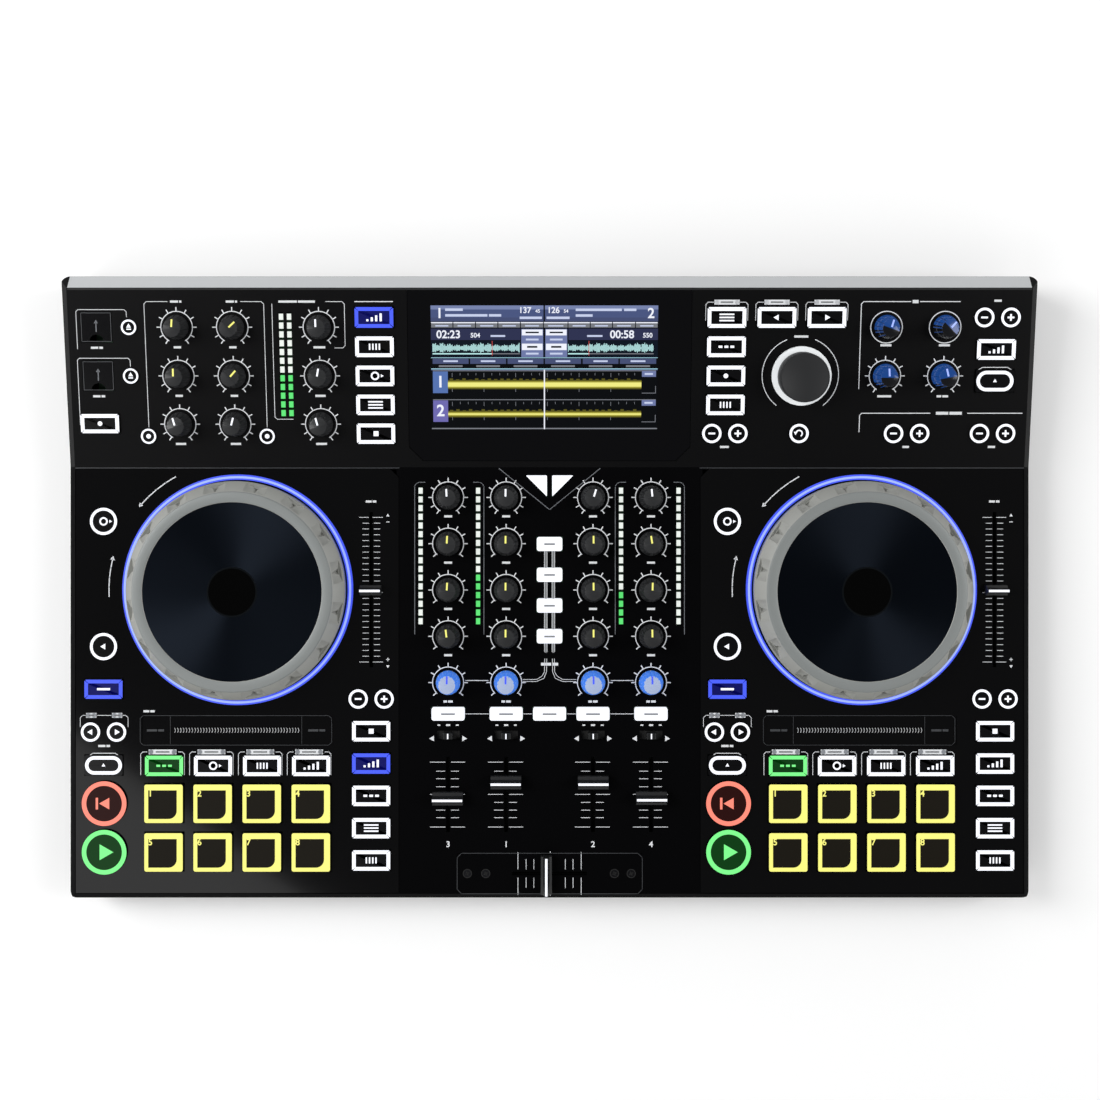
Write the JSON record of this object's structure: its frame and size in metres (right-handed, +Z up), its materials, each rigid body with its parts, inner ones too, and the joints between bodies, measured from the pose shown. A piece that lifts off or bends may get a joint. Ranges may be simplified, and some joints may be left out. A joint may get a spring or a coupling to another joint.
{
  "type": "dj controller",
  "caption": "Standalone DJ controller: two jog-wheel decks with performance pads, a four-channel mixer section between them and a raised rear panel with a colour display.",
  "frame": {"origin": "on the standing surface, under the middle of the case", "axes": "+X to the right as the player sees it, +Y to the rear, +Z up"},
  "size_m": [0.66, 0.4256, 0.0648],
  "materials": {
    "black_case": "matte",
    "dark_panel": "satin",
    "gloss_plate": "gloss",
    "screen_glass": "gloss",
    "module_black": "matte",
    "socket_metal": "satin",
    "foot_rubber": "matte",
    "screw_steel": "satin",
    "board_green": "satin",
    "light_guide": "gloss",
    "knob_plastic": "satin",
    "jog_metal": "satin",
    "fader_plastic": "satin",
    "pad_rubber": "matte",
    "button_plastic": "gloss"
  },
  "bodies": {
    "case": {"bottom_tray": "black_case", "top_panel": "dark_panel", "deck_plates": "gloss_plate", "display_window": "screen_glass", "display_module": "module_black", "crossfader_plate": "gloss_plate", "rear_panel": "black_case", "sockets": "socket_metal", "feet": "foot_rubber", "case_screws": "screw_steel", "circuit_boards": "board_green", "control_bodies": "module_black", "light_guides": "light_guide", "mic_knobs": "knob_plastic"},
    "gain_knob_3_body": {"gain_knob_3": "knob_plastic"},
    "gain_knob_1_body": {"gain_knob_1": "knob_plastic"},
    "gain_knob_2_body": {"gain_knob_2": "knob_plastic"},
    "gain_knob_4_body": {"gain_knob_4": "knob_plastic"},
    "high_knob_3_body": {"high_knob_3": "knob_plastic"},
    "high_knob_1_body": {"high_knob_1": "knob_plastic"},
    "high_knob_2_body": {"high_knob_2": "knob_plastic"},
    "high_knob_4_body": {"high_knob_4": "knob_plastic"},
    "mid_knob_3_body": {"mid_knob_3": "knob_plastic"},
    "mid_knob_1_body": {"mid_knob_1": "knob_plastic"},
    "mid_knob_2_body": {"mid_knob_2": "knob_plastic"},
    "mid_knob_4_body": {"mid_knob_4": "knob_plastic"},
    "low_knob_3_body": {"low_knob_3": "knob_plastic"},
    "low_knob_1_body": {"low_knob_1": "knob_plastic"},
    "low_knob_2_body": {"low_knob_2": "knob_plastic"},
    "low_knob_4_body": {"low_knob_4": "knob_plastic"},
    "fx_mix_knob_3_body": {"fx_mix_knob_3": "knob_plastic"},
    "fx_mix_knob_1_body": {"fx_mix_knob_1": "knob_plastic"},
    "fx_mix_knob_2_body": {"fx_mix_knob_2": "knob_plastic"},
    "fx_mix_knob_4_body": {"fx_mix_knob_4": "knob_plastic"},
    "master_knob_body": {"master_knob": "knob_plastic"},
    "booth_knob_body": {"booth_knob": "knob_plastic"},
    "phones_knob_body": {"phones_knob": "knob_plastic"},
    "fx_source_knob_body": {"fx_source_knob": "knob_plastic"},
    "fx_effect_knob_body": {"fx_effect_knob": "knob_plastic"},
    "fx_parameter_knob_body": {"fx_parameter_knob": "knob_plastic"},
    "fx_dry_wet_knob_body": {"fx_dry_wet_knob": "knob_plastic"},
    "navigate_shaft_body": {"navigate_shaft": "knob_plastic"},
    "navigate_knob_body": {"navigate_knob": "knob_plastic"},
    "jog_wheel_left_body": {"jog_wheel_left": "jog_metal"},
    "jog_wheel_right_body": {"jog_wheel_right": "jog_metal"},
    "channel_fader_3_body": {"channel_fader_3": "fader_plastic"},
    "channel_fader_1_body": {"channel_fader_1": "fader_plastic"},
    "channel_fader_2_body": {"channel_fader_2": "fader_plastic"},
    "channel_fader_4_body": {"channel_fader_4": "fader_plastic"},
    "crossfader_body": {"crossfader": "fader_plastic"},
    "pitch_fader_left_body": {"pitch_fader_left": "fader_plastic"},
    "pitch_fader_right_body": {"pitch_fader_right": "fader_plastic"},
    "assign_switches_body": {"assign_switches": "fader_plastic"},
    "usb_cover_upper_body": {"usb_cover_upper": "dark_panel"},
    "usb_cover_lower_body": {"usb_cover_lower": "dark_panel"},
    "power_switch_body": {"power_switch": "fader_plastic"},
    "pads_body": {"pads": "pad_rubber"},
    "deck_buttons_body": {"deck_buttons": "button_plastic"},
    "mixer_buttons_body": {"mixer_buttons": "button_plastic"},
    "panel_buttons_body": {"panel_buttons": "button_plastic"}
  },
  "joints": [
    {"name": "gain_3_turn", "type": "hinge", "parent": "case", "child": "gain_knob_3_body", "pos_m": [-0.0696, 0.0628, 0.034], "axis": [0, 0, 1], "range_deg": [-150, 150]},
    {"name": "gain_1_turn", "type": "hinge", "parent": "case", "child": "gain_knob_1_body", "pos_m": [-0.0298, 0.0628, 0.034], "axis": [0, 0, 1], "range_deg": [-150, 150]},
    {"name": "gain_2_turn", "type": "hinge", "parent": "case", "child": "gain_knob_2_body", "pos_m": [0.0298, 0.0628, 0.034], "axis": [0, 0, 1], "range_deg": [-150, 150]},
    {"name": "gain_4_turn", "type": "hinge", "parent": "case", "child": "gain_knob_4_body", "pos_m": [0.0696, 0.0628, 0.034], "axis": [0, 0, 1], "range_deg": [-150, 150]},
    {"name": "high_3_turn", "type": "hinge", "parent": "case", "child": "high_knob_3_body", "pos_m": [-0.0696, 0.03105, 0.034], "axis": [0, 0, 1], "range_deg": [-150, 150]},
    {"name": "high_1_turn", "type": "hinge", "parent": "case", "child": "high_knob_1_body", "pos_m": [-0.0298, 0.03105, 0.034], "axis": [0, 0, 1], "range_deg": [-150, 150]},
    {"name": "high_2_turn", "type": "hinge", "parent": "case", "child": "high_knob_2_body", "pos_m": [0.0298, 0.03105, 0.034], "axis": [0, 0, 1], "range_deg": [-150, 150]},
    {"name": "high_4_turn", "type": "hinge", "parent": "case", "child": "high_knob_4_body", "pos_m": [0.0696, 0.03105, 0.034], "axis": [0, 0, 1], "range_deg": [-150, 150]},
    {"name": "mid_3_turn", "type": "hinge", "parent": "case", "child": "mid_knob_3_body", "pos_m": [-0.0696, -0.0007, 0.034], "axis": [0, 0, 1], "range_deg": [-150, 150]},
    {"name": "mid_1_turn", "type": "hinge", "parent": "case", "child": "mid_knob_1_body", "pos_m": [-0.0298, -0.0007, 0.034], "axis": [0, 0, 1], "range_deg": [-150, 150]},
    {"name": "mid_2_turn", "type": "hinge", "parent": "case", "child": "mid_knob_2_body", "pos_m": [0.0298, -0.0007, 0.034], "axis": [0, 0, 1], "range_deg": [-150, 150]},
    {"name": "mid_4_turn", "type": "hinge", "parent": "case", "child": "mid_knob_4_body", "pos_m": [0.0696, -0.0007, 0.034], "axis": [0, 0, 1], "range_deg": [-150, 150]},
    {"name": "low_3_turn", "type": "hinge", "parent": "case", "child": "low_knob_3_body", "pos_m": [-0.0696, -0.03245, 0.034], "axis": [0, 0, 1], "range_deg": [-150, 150]},
    {"name": "low_1_turn", "type": "hinge", "parent": "case", "child": "low_knob_1_body", "pos_m": [-0.0298, -0.03245, 0.034], "axis": [0, 0, 1], "range_deg": [-150, 150]},
    {"name": "low_2_turn", "type": "hinge", "parent": "case", "child": "low_knob_2_body", "pos_m": [0.0298, -0.03245, 0.034], "axis": [0, 0, 1], "range_deg": [-150, 150]},
    {"name": "low_4_turn", "type": "hinge", "parent": "case", "child": "low_knob_4_body", "pos_m": [0.0696, -0.03245, 0.034], "axis": [0, 0, 1], "range_deg": [-150, 150]},
    {"name": "fx_mix_3_turn", "type": "hinge", "parent": "case", "child": "fx_mix_knob_3_body", "pos_m": [-0.0696, -0.0642, 0.034], "axis": [0, 0, 1], "range_deg": [-150, 150]},
    {"name": "fx_mix_1_turn", "type": "hinge", "parent": "case", "child": "fx_mix_knob_1_body", "pos_m": [-0.0298, -0.0642, 0.034], "axis": [0, 0, 1], "range_deg": [-150, 150]},
    {"name": "fx_mix_2_turn", "type": "hinge", "parent": "case", "child": "fx_mix_knob_2_body", "pos_m": [0.0298, -0.0642, 0.034], "axis": [0, 0, 1], "range_deg": [-150, 150]},
    {"name": "fx_mix_4_turn", "type": "hinge", "parent": "case", "child": "fx_mix_knob_4_body", "pos_m": [0.0696, -0.0642, 0.034], "axis": [0, 0, 1], "range_deg": [-150, 150]},
    {"name": "master_turn", "type": "hinge", "parent": "case", "child": "master_knob_body", "pos_m": [-0.156, 0.17819, 0.04821], "axis": [0, -0.1487, 0.9889], "range_deg": [-150, 150]},
    {"name": "booth_turn", "type": "hinge", "parent": "case", "child": "booth_knob_body", "pos_m": [-0.156, 0.14555, 0.04331], "axis": [0, -0.1487, 0.9889], "range_deg": [-150, 150]},
    {"name": "phones_turn", "type": "hinge", "parent": "case", "child": "phones_knob_body", "pos_m": [-0.156, 0.11292, 0.0384], "axis": [0, -0.1487, 0.9889], "range_deg": [-150, 150]},
    {"name": "fx_source_turn", "type": "hinge", "parent": "case", "child": "fx_source_knob_body", "pos_m": [0.2279, 0.17819, 0.04821], "axis": [0, -0.1487, 0.9889], "continuous": true},
    {"name": "fx_effect_turn", "type": "hinge", "parent": "case", "child": "fx_effect_knob_body", "pos_m": [0.2675, 0.17819, 0.04821], "axis": [0, -0.1487, 0.9889], "continuous": true},
    {"name": "fx_parameter_turn", "type": "hinge", "parent": "case", "child": "fx_parameter_knob_body", "pos_m": [0.2279, 0.14555, 0.04331], "axis": [0, -0.1487, 0.9889], "range_deg": [-150, 150]},
    {"name": "fx_dry_wet_turn", "type": "hinge", "parent": "case", "child": "fx_dry_wet_knob_body", "pos_m": [0.2675, 0.14555, 0.04331], "axis": [0, -0.1487, 0.9889], "range_deg": [-150, 150]},
    {"name": "navigate_press", "type": "slide", "parent": "case", "child": "navigate_shaft_body", "axis": [0, 0.1487, -0.9889], "range_m": [0, 0.0015], "stiffness_N_per_m": 500, "springref_m": -0.003},
    {"name": "navigate_turn", "type": "hinge", "parent": "navigate_shaft_body", "child": "navigate_knob_body", "pos_m": [0.1704, 0.14595, 0.04337], "axis": [0, -0.1487, 0.9889], "continuous": true},
    {"name": "jog_left_turn", "type": "hinge", "parent": "case", "child": "jog_wheel_left_body", "pos_m": [-0.21375, -0.0005, 0.043], "axis": [0, 0, 1], "continuous": true},
    {"name": "jog_right_turn", "type": "hinge", "parent": "case", "child": "jog_wheel_right_body", "pos_m": [0.21375, -0.0005, 0.043], "axis": [0, 0, 1], "continuous": true},
    {"name": "channel_3_slide", "type": "slide", "parent": "case", "child": "channel_fader_3_body", "axis": [0, 1, 0], "range_m": [-0.0205, 0.0245]},
    {"name": "channel_1_slide", "type": "slide", "parent": "case", "child": "channel_fader_1_body", "axis": [0, 1, 0], "range_m": [-0.0315, 0.0135]},
    {"name": "channel_2_slide", "type": "slide", "parent": "case", "child": "channel_fader_2_body", "axis": [0, 1, 0], "range_m": [-0.0315, 0.0135]},
    {"name": "channel_4_slide", "type": "slide", "parent": "case", "child": "channel_fader_4_body", "axis": [0, 1, 0], "range_m": [-0.0209, 0.0241]},
    {"name": "crossfader_slide", "type": "slide", "parent": "case", "child": "crossfader_body", "axis": [1, 0, 0], "range_m": [-0.0203, 0.0247]},
    {"name": "pitch_left_slide", "type": "slide", "parent": "case", "child": "pitch_fader_left_body", "axis": [0, 1, 0], "range_m": [-0.05, 0.05]},
    {"name": "pitch_right_slide", "type": "slide", "parent": "case", "child": "pitch_fader_right_body", "axis": [0, 1, 0], "range_m": [-0.05, 0.05]},
    {"name": "assign_slide", "type": "slide", "parent": "case", "child": "assign_switches_body", "axis": [1, 0, 0], "range_m": [-0.0035, 0.0035]},
    {"name": "usb_cover_upper_lift", "type": "hinge", "parent": "case", "child": "usb_cover_upper_body", "pos_m": [-0.3067, 0.18719, 0.04851], "axis": [-1, 0, 0], "range_deg": [0, 95]},
    {"name": "usb_cover_lower_lift", "type": "hinge", "parent": "case", "child": "usb_cover_lower_body", "pos_m": [-0.3067, 0.15456, 0.0436], "axis": [-1, 0, 0], "range_deg": [0, 95]},
    {"name": "power_rock", "type": "hinge", "parent": "case", "child": "power_switch_body", "pos_m": [-0.195, 0.19575, 0.0255], "axis": [1, 0, 0], "range_deg": [0, 16]},
    {"name": "pads_press", "type": "slide", "parent": "case", "child": "pads_body", "axis": [0, 0, -1], "range_m": [0, 0.0012], "stiffness_N_per_m": 1000, "springref_m": -0.003},
    {"name": "deck_buttons_press", "type": "slide", "parent": "case", "child": "deck_buttons_body", "axis": [0, 0, -1], "range_m": [0, 0.0012], "stiffness_N_per_m": 1000, "springref_m": -0.003},
    {"name": "mixer_buttons_press", "type": "slide", "parent": "case", "child": "mixer_buttons_body", "axis": [0, 0, -1], "range_m": [0, 0.0012], "stiffness_N_per_m": 1000, "springref_m": -0.003},
    {"name": "panel_buttons_press", "type": "slide", "parent": "case", "child": "panel_buttons_body", "axis": [0, 0.1487, -0.9889], "range_m": [0, 0.0012], "stiffness_N_per_m": 1000, "springref_m": -0.003}
  ]
}
